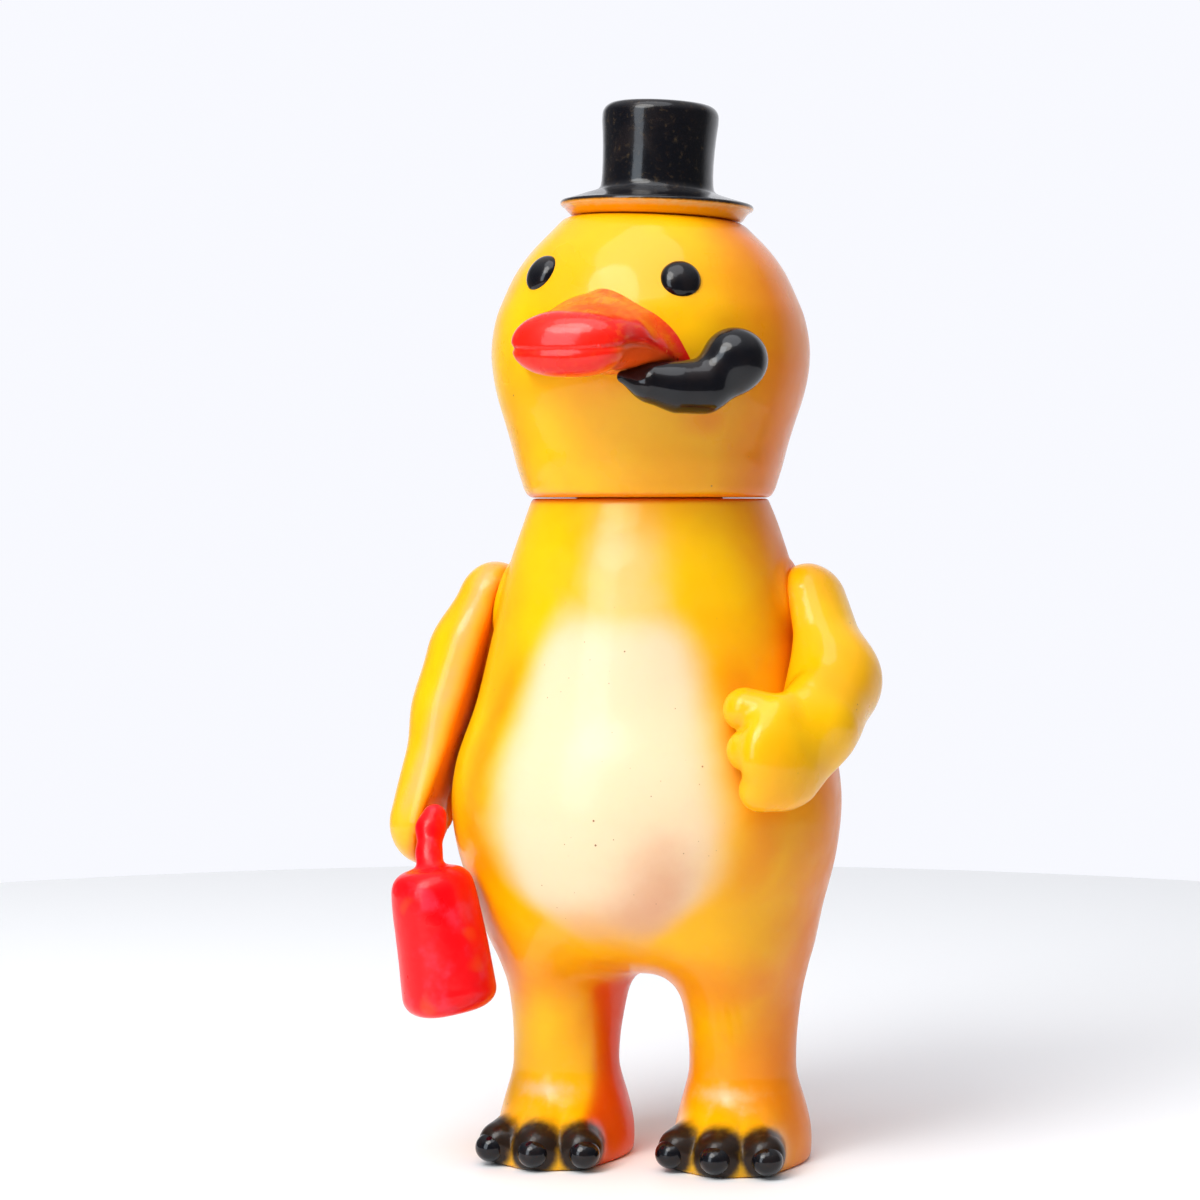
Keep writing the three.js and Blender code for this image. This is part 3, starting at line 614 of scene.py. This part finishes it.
class Paint:
    """Builds one glossy paint out of layers."""

    def __init__(self, name, base):
        self.material = bpy.data.materials.new(name)
        self.material.use_nodes = True
        self.tree = self.material.node_tree
        self.shader = self.tree.nodes["Principled BSDF"]
        self.colour = None
        self.base = base
        coordinates = self.tree.nodes.new("ShaderNodeTexCoord")
        self.place = coordinates.outputs["Object"]

    def node(self, kind, **inputs):
        node = self.tree.nodes.new(kind)
        for key, value in inputs.items():
            place = int(key[1:]) if key[0] == "_" else key.replace("_", " ")
            socket = node.inputs[place]
            if isinstance(value, bpy.types.NodeSocket):
                self.tree.links.new(value, socket)
            else:
                socket.default_value = value
        return node

    def math(self, operation, *values):
        node = self.node("ShaderNodeMath", **{f"_{i}": value for i, value in enumerate(values)})
        node.operation = operation
        return node.outputs[0]

    def attribute(self, name):
        node = self.tree.nodes.new("ShaderNodeAttribute")
        node.attribute_name = name
        return node.outputs["Fac"]

    def stretched(self, scale, turn):
        node = self.node("ShaderNodeMapping", Vector=self.place, Scale=scale, Rotation=turn)
        return node.outputs[0]

    def noise(self, scale, detail=3.0, vector=None):
        """Cloudy noise about 0.5, with features of about `scale` millimetres."""
        node = self.node(
            "ShaderNodeTexNoise",
            Vector=vector or self.place, Scale=1 / (scale * MM), Detail=detail,
        )
        return node.outputs["Fac"]

    def ramp(self, value, low, high, start=0.0, end=1.0):
        node = self.tree.nodes.new("ShaderNodeMapRange")
        node.interpolation_type = "SMOOTHSTEP"
        self.tree.links.new(value, node.inputs["Value"])
        limits = {"From Min": low, "From Max": high, "To Min": start, "To Max": end}
        for socket, number in limits.items():
            node.inputs[socket].default_value = number
        return node.outputs[0]

    def over(self, colour, amount):
        """Lays a colour over the paint so far."""
        node = self.tree.nodes.new("ShaderNodeMix")
        node.data_type = "RGBA"
        self.tree.links.new(amount, node.inputs["Factor"])
        if self.colour is None:
            node.inputs[6].default_value = (*self.base, 1)
        else:
            self.tree.links.new(self.colour, node.inputs[6])
        node.inputs[7].default_value = (*colour, 1)
        self.colour = node.outputs[2]

    def broken(self, name, size, amount):
        """A painted mask with its edge broken up by noise."""
        cloud = self.math("MULTIPLY_ADD", self.noise(size), amount, -amount / 2)
        return self.ramp(self.math("ADD", self.attribute(name), cloud), 0.02, 0.98)

    def spatter(self, pitch, share, radius, within):
        """Sparse round specks: the share of cells `pitch` millimetres wide that hold one."""
        cells = self.node("ShaderNodeTexVoronoi", Vector=self.place, Scale=1 / (pitch * MM))
        speck = self.ramp(cells.outputs["Distance"], radius, radius * 0.55)
        chosen = self.node("ShaderNodeSeparateColor", Color=cells.outputs["Color"]).outputs[0]
        amount = self.math("MULTIPLY", speck, self.math("GREATER_THAN", chosen, 1 - share))
        return self.math("MULTIPLY", amount, within)

    def gloss(
        self, roughness, coat, coat_roughness, bump_size, bump_depth,
        subsurface=0.0, radius=(1, 0.4, 0.1),
    ):
        """Finishes the paint: its gloss, its clear coat and the swell and grain of its surface."""
        shader = self.shader
        shader.inputs["IOR"].default_value = PAINT_IOR
        shader.inputs["Coat IOR"].default_value = COAT_IOR
        shader.inputs["Specular IOR Level"].default_value = PAINT_SPECULAR
        if self.colour:
            self.tree.links.new(self.colour, shader.inputs["Base Color"])
        else:
            shader.inputs["Base Color"].default_value = (*self.base, 1)
        smudge = self.ramp(self.noise(9, 4), 0.3, 0.7, roughness * 0.75, roughness * 1.3)
        self.tree.links.new(smudge, shader.inputs["Roughness"])
        shader.inputs["Coat Weight"].default_value = coat
        shader.inputs["Coat Roughness"].default_value = coat_roughness
        shader.inputs["Subsurface Weight"].default_value = subsurface
        shader.inputs["Subsurface Radius"].default_value = radius
        shader.inputs["Subsurface Scale"].default_value = SCATTER_DEPTH
        swell = self.node(
            "ShaderNodeBump",
            Height=self.noise(bump_size, 2), Strength=1.0, Distance=bump_depth * MM,
        )
        grain = self.node(
            "ShaderNodeBump",
            Height=self.noise(GRAIN_SIZE, 2), Strength=1.0, Distance=GRAIN_DEPTH * MM,
            Normal=swell.outputs[0],
        )
        self.tree.links.new(grain.outputs[0], shader.inputs["Normal"])
        self.tree.links.new(swell.outputs[0], shader.inputs["Coat Normal"])
        return self.material


def yellow_paint(name, masks):
    paint = Paint(name, YELLOW)
    paint.over(SUN_YELLOW, paint.ramp(paint.noise(22, 3), 0.35, 0.75, 0, 0.75))
    for mask_name, colour, size, amount in masks:
        paint.over(colour, paint.broken(mask_name, size, amount))
    patches = paint.ramp(paint.noise(14, 2), 0.45, 0.6, 0.1, 0.8)
    paint.over(SPATTER, paint.spatter(2.2, 0.05, 0.12, patches))
    return paint


def body_paint():
    paint = yellow_paint("airbrushed_and_shaded_body", [
        # painted shade, in orange
        ("shade", ORANGE, 7, 0.25),
        # deeper painted shade inside the right leg
        ("deep_shade", DEEP_ORANGE, 6, 0.2),
        ("cream", CREAM, 9, 0.22),
        ("blush", PINK_TAN, 6, 0.3),
        # painted highlight where the paint is thin on the insteps
        ("sheen_and_wear", TAN, 2, 0.5),
        ("crease", TAN, 1, 0.3),
        ("soot", SOOT, 1.6, 0.35),
    ])
    belly = paint.attribute("cream")
    paint.over(SPATTER, paint.spatter(1.5, 0.11, 0.11, paint.math("MULTIPLY", belly, 0.75)))
    paint.over(SPATTER, paint.spatter(3.7, 0.10, 0.075, belly))
    return paint.gloss(0.40, 0.40, 0.13, 7, 0.10, 0.10)


def shaded_paint(name):
    # The shade layer is orange painted shade.
    paint = yellow_paint(name, [("shade", ORANGE, 7, 0.25), ("blush", PINK_TAN, 6, 0.3)])
    return paint.gloss(0.34, 0.50, 0.08, 6, 0.08, 0.10)


def bill_paint():
    paint = Paint("brushed_bill_red", BILL_RED)
    strokes = paint.noise(1.1, 3, paint.stretched((1.0, 0.14, 1.0), (0.3, 0, FACE_TURN - 0.35)))
    paint.over(BILL_ORANGE, paint.ramp(strokes, 0.5, 0.68, 0, 0.55))
    paint.over(BILL_ORANGE, paint.broken("lower", 2.5, 0.4))
    apex = paint.broken("apex", 3, 0.4)
    streaks = paint.ramp(strokes, 0.35, 0.6, 0.35, 0.95)
    paint.over(APEX_ORANGE, paint.math("MULTIPLY", apex, streaks))
    paint.over(BILL_RED, paint.broken("tip", 1.2, 0.8))
    return paint.gloss(0.3, 0.55, 0.07, 2.2, 0.05, 0.05, (1, 0.15, 0.05))


def bottle_paint():
    paint = Paint("bottle_red", BOTTLE_RED)
    # Pink painted sheen in patches placed by noise.
    paint.over(BOTTLE_SHEEN_PINK, paint.ramp(paint.noise(6, 3), 0.5, 0.7, 0, 0.7))
    paint.over(BILL_ORANGE, paint.ramp(paint.noise(9, 1), 0.62, 0.72, 0, 0.35))
    return paint.gloss(0.36, 0.35, 0.12, 3.4, 0.12, 0.06, (1, 0.12, 0.08))


def black_paint(name, size):
    paint = Paint(name, BLACK)
    paint.over(BLACK_BROWN, paint.ramp(paint.noise(size * 2, 3), 0.45, 0.7, 0, 0.8))
    return paint.gloss(0.2, 0.6, 0.06, size, 0.06)


def hat_paint():
    """Black, brushed on down to the rim: the underside of the brim stays the colour of the cast."""
    paint = Paint("hat_black_over_yellow", BLACK)
    paint.over(BLACK_BROWN, paint.ramp(paint.noise(9, 3), 0.45, 0.7, 0, 0.8))
    paint.over(BARE_ORANGE, paint.broken("bare", 0.8, 0.35))
    # a tan painted highlight along the rim
    paint.over(TAN, paint.broken("sheen_and_wear", 1.2, 0.6))
    return paint.gloss(0.22, 0.55, 0.09, 4, 0.06)


# ------------------------------------------------------------------ masks, in millimetres

# Half the cream patch's spread round the belly, in degrees, up the height.
patch_spread = smooth_curve([
    (50, 14), (57, 24), (64, 34), (72, 38), (82, 39), (94, 38), (106, 36), (115, 33), (124, 28),
    (130, 22),
])


def azimuth_of(p):
    """Degrees round from straight ahead, towards the bird's left."""
    return np.degrees(np.arctan2(p[:, 0], -p[:, 1]))


def shaded_round(azimuth, start, full):
    """Painted shade in orange down both flanks, even where they meet at the back; the left flank is
    shaded more.

    The left one begins at `start` degrees and is complete at `full`.
    """
    left = smoothstep(start, full, azimuth) * (0.85 - 0.15 * smoothstep(110, 178, azimuth))
    right = smoothstep(-70, -125, azimuth) * (0.6 + 0.1 * smoothstep(-128, -178, azimuth))
    return left + right


def near_segment(p, a, b):
    a, b = np.array(a, float), np.array(b, float)
    t = np.clip((p - a) @ (b - a) / ((b - a) @ (b - a)), 0, 1)
    return np.linalg.norm(p - a - t[:, None] * (b - a), axis=1)


def body_masks(obj, p):
    x, _, z = p.T
    azimuth = azimuth_of(p)
    half = patch_spread(z)
    across = 1 - smoothstep(0.55, 1.25, np.abs(azimuth - 2) / half)
    cream = across * smoothstep(51, 66, z) * smoothstep(130, 110, z)
    chest = np.exp(-(((azimuth - 6) / 22) ** 4))
    chest = chest * smoothstep(104, 122, z) * smoothstep(152, 130, z)
    # Painted shade in orange: down the flanks, under the belly, between the legs, on the outer side
    # of the left leg and round the cream patch.
    flank = shaded_round(azimuth, 34, 95)
    underside = smoothstep(60, 44, z) * smoothstep(30, 44, z) * 0.55
    between = np.exp(-((np.hypot(x - 1, z - 38) / 12) ** 2)) * 0.9
    # Deeper painted shade on the inner side of the right leg.
    inner_leg = smoothstep(-11, -6.5, x) * (x < 0) * smoothstep(46, 40, z) * 0.95
    legs_right_side = smoothstep(24, 33, x) * smoothstep(46, 30, z) * 0.5
    around_patch = np.exp(-(((np.abs(azimuth - 3) / half - 1.25) / 0.3) ** 2))
    around_patch = around_patch * smoothstep(56, 70, z) * smoothstep(122, 104, z)
    shade = np.maximum.reduce([
        flank, underside, between, inner_leg, legs_right_side, around_patch * 0.5,
    ])
    # Painted shade at the seam under the head; none on the cream patch.
    shade = np.maximum(shade * (1 - cream), smoothstep(BODY_TOP - 1.6, BODY_TOP, z))
    blush = across * np.exp(-(((azimuth - 22) / 16) ** 2 + ((z - 66) / 13) ** 2)) * 0.75
    blush += across * np.exp(-(((azimuth + 2) / 26) ** 2 + ((z - 58) / 6) ** 2)) * 0.45
    soot, crease, sheen_and_wear = np.zeros(len(p)), np.zeros(len(p)), np.zeros(len(p))
    for side, leg in LEGS.items():
        for angle in toe_angles(side).values():
            claw = claw_field(leg, angle)(p)
            soot = np.maximum(soot, np.exp(-((np.maximum(claw, 0) / 2.3) ** 2)) * 1.1)
        for angle in (-14, 14):
            top, bottom = along_toe(leg, angle, 12.5, 13), along_toe(leg, angle, 20.5, 2)
            gap = near_segment(p, top, bottom)
            crease = np.maximum(crease, np.exp(-((gap / 0.8) ** 2)) * 0.7)
        # A painted highlight, with thinned paint, across each instep.
        instep = np.array([leg[0] - 1, leg[1] - 11.5, 19.5])
        instep_sheen_and_wear = np.exp(-(((p - instep) / np.array([6.5, 6, 1.7])) ** 2).sum(1)) * 0.8
        sheen_and_wear = np.maximum(sheen_and_wear, instep_sheen_and_wear)
    mask(obj, "cream", np.maximum(cream, chest * 0.42))
    mask(obj, "shade", shade)
    mask(obj, "deep_shade", inner_leg * 0.8)
    mask(obj, "blush", blush)
    mask(obj, "soot", soot)
    mask(obj, "crease", crease)
    mask(obj, "sheen_and_wear", sheen_and_wear)


def head_masks(obj, p):
    z = p[:, 2]
    azimuth = azimuth_of(p)
    # Painted shade in orange: down the flanks, low on the head, a painted shadow under the pipe,
    # and at the seam above the body.
    flank = shaded_round(azimuth, 18, 85)
    low = smoothstep(168, 150, z) * 0.3
    low = low * smoothstep(-50, 10, azimuth) * smoothstep(178, 120, azimuth)
    under_pipe = np.exp(-(((azimuth - 40) / 14) ** 2 + ((z - 160) / 5) ** 2)) * 0.55
    seam = smoothstep(HEAD_BOTTOM + 1.6, HEAD_BOTTOM, z)
    mask(obj, "shade", np.maximum.reduce([flank, low, under_pipe, seam]))
    mask(obj, "blush", np.zeros(len(p)))


def left_arm_masks(obj, p):
    _, y, z = p.T
    # Painted shade in orange: on the inner face by the body, on the back of the arm and low down.
    out = beyond(p, SHOULDERS["left"]["pivot"], outward(SHOULDERS["left"]))
    inner = smoothstep(3, 0, out) * 0.7
    behind = smoothstep(-4, 10, y) * 0.6
    below = smoothstep(92, 80, z) * 0.3
    mask(obj, "shade", np.maximum.reduce([inner * smoothstep(-16, -8, y), behind, below]))
    mask(obj, "blush", np.zeros(len(p)))


def right_arm_masks(obj, p):
    z = p[:, 2]
    out = beyond(p, SHOULDERS["right"]["pivot"], outward(SHOULDERS["right"]))
    # Painted shade in orange on the inner face by the body.
    mask(obj, "shade", smoothstep(3.5, 0, out) * 0.8)
    mask(obj, "blush", np.exp(-(((out - 4) / 2.6) ** 2)) * smoothstep(66, 84, z) * 0.45)


# ------------------------------------------------------------------ the pieces


def add_piece(obj, body, slot, material, *nodes):
    obj.data.materials.append(material)
    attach(obj, body)
    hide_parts(*nodes)


HAT_SIDES = 120


def make_hat():
    """The hat is turned about its own axis: a crown, a drooping brim, and the seat below it."""
    up = Vector(HAT_UP)
    turn = np.array(Vector((0, 0, 1)).rotation_difference(up).to_matrix())

    def arc(cx, cz, radius, start, end, count):
        angles = np.radians(np.linspace(start, end, count))
        return [(cx + radius * math.cos(a), cz + radius * math.sin(a)) for a in angles]

    profile = [(5.6, -4.3), (9.5, -4.3), (9.5, -2.7), (8, -2.7), (8, 0.3), (17.9, 0.3)]
    profile += [(18.4, 0.7), (19.1, 1.6), (19.7, 2.3)]
    profile += arc(19.75, 3.05, 0.72, -75, 95, 10)
    profile += [(18.6, 4.1), (16.8, 4.65), (15, 5.2), (13.4, 5.7)]
    profile += [(12.5, 6.1), (12.0, 6.7), (11.8, 7.8)]
    profile += [(11.7, 9.5), (11.7, 12), (11.8, 15), (12.0, 18), (12.25, 20.6)]
    profile += arc(9.75, 21.9, 2.5, 0, 78, 9)
    profile += [(8, 24.62), (4, 24.85), (0.001, 24.9)]
    points, faces, heights = [], [], []
    for i in range(HAT_SIDES):
        angle = 2 * math.pi * i / HAT_SIDES
        for radius, z in profile:
            wobble = 1 + 0.006 * math.sin(2 * angle + 0.7) * (z > 5)
            wobble = wobble + 0.004 * math.sin(3 * angle + z * 0.3)
            dip = 0.28 * math.sin(angle + 0.6) * smoothstep(14, 20, radius) * (1.5 < z)
            x, y = radius * wobble * math.cos(angle), radius * wobble * math.sin(angle)
            points.append((x, y, z + dip))
            heights.append(z)
    rows = len(profile)
    for i in range(HAT_SIDES):
        j = (i + 1) % HAT_SIDES
        for k in range(rows - 1):
            faces.append((i * rows + k, j * rows + k, j * rows + k + 1, i * rows + k + 1))
    p = np.array(points) @ turn.T + HAT_SEAT
    hat = mesh_object("top_hat_casting", p, faces)
    heights = np.array(heights)
    mask(hat, "bare", smoothstep(3.3, 2.6, heights))
    # A tan painted highlight along the lower edge of the rim.
    mask(hat, "sheen_and_wear", np.exp(-(((heights - 2.3) / 0.5) ** 2)) * 0.7)
    close_axis(hat)
    add_piece(hat, "hat", "black_gloss", hat_paint(), "top_hat")


def close_axis(obj):
    """Merges the ring of vertices on the axis and closes the open throat."""
    sheet = bmesh.new()
    sheet.from_mesh(obj.data)
    bmesh.ops.remove_doubles(sheet, verts=sheet.verts, dist=0.00001)
    edges = [edge for edge in sheet.edges if edge.is_boundary]
    if edges:
        bmesh.ops.holes_fill(sheet, edges=edges)
    bmesh.ops.recalc_face_normals(sheet, faces=sheet.faces)
    sheet.to_mesh(obj.data)
    sheet.free()
    obj.data.shade_smooth()


def around_line(line, margin):
    """A box that holds every ball of a line, with a margin."""
    points = np.array([bead[:3] for bead in line], float)
    radii = np.array([bead[3] for bead in line])[:, None]
    return (points - radii).min(0) - margin, (points + radii).max(0) + margin


def make_pieces():
    coarse = 1.0
    black_small = black_paint("black_gloss_small", 1.6)
    body, p = skin("body_casting", body_field, (-46, -46, -1.5), (46, 42, 151), 0.85 * coarse)
    body_masks(body, p)
    add_piece(body, "body", "yellow_vinyl", body_paint(), "body_shell")

    head, p = skin("head_casting", head_field, (-36, -35, 143), (36, 35, 206), 0.8 * coarse)
    head_masks(head, p)
    add_piece(head, "head", "yellow_vinyl", shaded_paint("airbrushed_and_shaded_head"), "head_shell")

    bill, p = skin("bill_casting", bill_field, (-25, -55, 165), (25, -19, 191), 0.45 * coarse)
    _, forward = bill_place(p)
    mask(bill, "lower", smoothstep(0.4, -1.2, p[:, 2] - bill_mouth(forward)) * 0.9)
    mask(bill, "tip", smoothstep(47.5, 51.5, forward) * 0.9)
    mask(bill, "apex", smoothstep(178, 184, p[:, 2]) * smoothstep(46, 36, forward) * 0.8)
    add_piece(bill, "head", "bill_red", bill_paint(), "beak")

    low, high = around_line(PIPE_LINE, 1.5)
    pipe, _ = skin("pipe_casting", pipe_field, low, high, 0.45 * coarse)
    add_piece(pipe, "head", "black_gloss", black_paint("black_gloss_pipe", 3.4), "pipe")

    for side in EYES:
        point, _ = on_head(*EYES[side])
        name = f"{side}_eye_bead"
        eye, _ = skin(name, eye_field(side), point - 5, point + 5, 0.25 * coarse)
        add_piece(eye, "head", "black_gloss", black_small, f"{side}_eye")

    for side, leg in LEGS.items():
        for which, angle in toe_angles(side).items():
            middle = along_toe(leg, angle, 22.2, 4.5)
            name, field = f"{side}_{which}_nail", claw_field(leg, angle)
            claw, _ = skin(name, field, middle - 7.5, middle + 7.5, 0.4 * coarse)
            add_piece(claw, "body", "black_gloss", black_small, f"{side}_{which}_claw")

    arm, p = skin("left_arm_casting", left_arm_field, (22, -40, 76), (58, 14, 136), 0.6 * coarse)
    left_arm_masks(arm, p)
    add_piece(arm, "left_arm", "yellow_vinyl", shaded_paint("airbrushed_and_shaded_left_arm"), "left_arm")

    low, high = (-64, -26, 60), (-22, 14, 136)
    arm, p = skin("right_arm_casting", right_arm_field, low, high, 0.6 * coarse)
    right_arm_masks(arm, p)
    add_piece(arm, "right_arm", "yellow_vinyl", shaded_paint("airbrushed_and_shaded_right_arm"), "right_arm")

    bottle, _ = skin("bottle_casting", bottle_field, (-56, -42, 34), (-22, -8, 84), 0.5 * coarse)
    add_piece(bottle, "right_arm", "bottle_red", bottle_paint(), "bottle")

    make_hat()


make_pieces()

# ------------------------------------------------------------------ floor, light and camera

CAMERA_AZIMUTH = math.radians(18)
CAMERA_DISTANCE = 0.606  # metres, as are the heights here
EYE_LEVEL = 0.1376
AIM_HEIGHT = 0.1182
AIM_SIDE = -0.0106
LENS = 85.4
SENSOR = 36
LIGHT_AIM = 0.12  # height that every light is turned to

FLOOR_COLOUR = (0.93, 0.93, 0.93)
FLOOR_RADIUS = 0.5  # metres
FLOOR_SIDES = 160
BACKDROP = (0.94, 0.95, 1.0)
ROOM = (0.15, 0.155, 0.165)

away = Vector((math.sin(CAMERA_AZIMUTH), -math.cos(CAMERA_AZIMUTH), 0))
rightward = Vector((math.cos(CAMERA_AZIMUTH), math.sin(CAMERA_AZIMUTH), 0))
axis_foot = Vector((*(ORIGIN * MM)[:2], 0))


def make_floor():
    turns = np.linspace(0, 2 * np.pi, FLOOR_SIDES, endpoint=False)
    rim = [(FLOOR_RADIUS * np.cos(t), FLOOR_RADIUS * np.sin(t), 0) for t in turns]
    mesh = bpy.data.meshes.new("floor")
    mesh.from_pydata(rim, [], [tuple(range(FLOOR_SIDES))])
    floor = bpy.data.objects.new("floor", mesh)
    bpy.context.scene.collection.objects.link(floor)
    material = bpy.data.materials.new("pale_floor")
    material.use_nodes = True
    shader = material.node_tree.nodes["Principled BSDF"]
    shader.inputs["Base Color"].default_value = (*FLOOR_COLOUR, 1)
    shader.inputs["Roughness"].default_value = 0.6
    mesh.materials.append(material)


def look_at(obj, place, target):
    obj.location = place
    obj.rotation_euler = (Vector(target) - Vector(place)).to_track_quat("-Z", "Y").to_euler()


def make_light(name, side, forward, height, size, power, colour):
    """A soft box placed from the figure: to the camera's right, towards the camera, and up."""
    data = bpy.data.lights.new(name, "AREA")
    data.shape = "RECTANGLE" if size[0] != size[1] else "ELLIPSE"
    data.size, data.size_y = size
    data.energy = power
    data.color = colour
    light = bpy.data.objects.new(name, data)
    bpy.context.scene.collection.objects.link(light)
    place = axis_foot + rightward * side + away * forward + Vector((0, 0, height))
    look_at(light, place, axis_foot + Vector((0, 0, LIGHT_AIM)))


def make_world():
    """A white backdrop behind the figure that falls away to a dim room in front of it."""
    world = bpy.data.worlds.new("studio")
    world.use_nodes = True
    nodes, links = world.node_tree.nodes, world.node_tree.links
    coordinates = nodes.new("ShaderNodeTexCoord")
    split = nodes.new("ShaderNodeSeparateXYZ")
    spread = nodes.new("ShaderNodeMapRange")
    spread.interpolation_type = "SMOOTHSTEP"
    spread.inputs["From Min"].default_value = 0.45
    spread.inputs["From Max"].default_value = 0.85
    overhead = nodes.new("ShaderNodeMapRange")
    overhead.interpolation_type = "SMOOTHSTEP"
    overhead.inputs["From Min"].default_value = 0.35
    overhead.inputs["From Max"].default_value = 1.0
    overhead.inputs["To Max"].default_value = 0.7
    brightest = nodes.new("ShaderNodeMath")
    brightest.operation = "MAXIMUM"
    mix = nodes.new("ShaderNodeMix")
    mix.data_type = "RGBA"
    mix.inputs[6].default_value = (*ROOM, 1)
    mix.inputs[7].default_value = (*BACKDROP, 1)
    links.new(coordinates.outputs["Generated"], split.inputs[0])
    links.new(split.outputs["Y"], spread.inputs["Value"])
    links.new(split.outputs["Z"], overhead.inputs["Value"])
    links.new(spread.outputs[0], brightest.inputs[0])
    links.new(overhead.outputs[0], brightest.inputs[1])
    links.new(brightest.outputs[0], mix.inputs["Factor"])
    links.new(mix.outputs[2], nodes["Background"].inputs["Color"])
    nodes["Background"].inputs["Strength"].default_value = 1.0
    bpy.context.scene.world = world


def make_stage():
    make_floor()
    make_world()
    bpy.context.scene.view_settings.view_transform = "Standard"
    make_light("window", -0.62, 0.66, 0.46, (0.34, 0.85), 4.2, (0.80, 0.90, 1.0))
    make_light("key", -0.45, 0.60, 0.85, (0.6, 0.6), 6.0, (1.0, 0.97, 0.92))
    make_light("sky", -0.12, 0.32, 1.0, (0.85, 0.85), 4.6, (0.92, 0.95, 1.0))

    data = bpy.data.cameras.new("camera")
    data.lens = LENS
    data.sensor_width = SENSOR
    camera = bpy.data.objects.new("camera", data)
    bpy.context.scene.collection.objects.link(camera)
    aim = axis_foot + rightward * AIM_SIDE
    eye = aim + away * CAMERA_DISTANCE + Vector((0, 0, EYE_LEVEL))
    look_at(camera, eye, aim + Vector((0, 0, AIM_HEIGHT)))
    bpy.context.scene.camera = camera


make_stage()
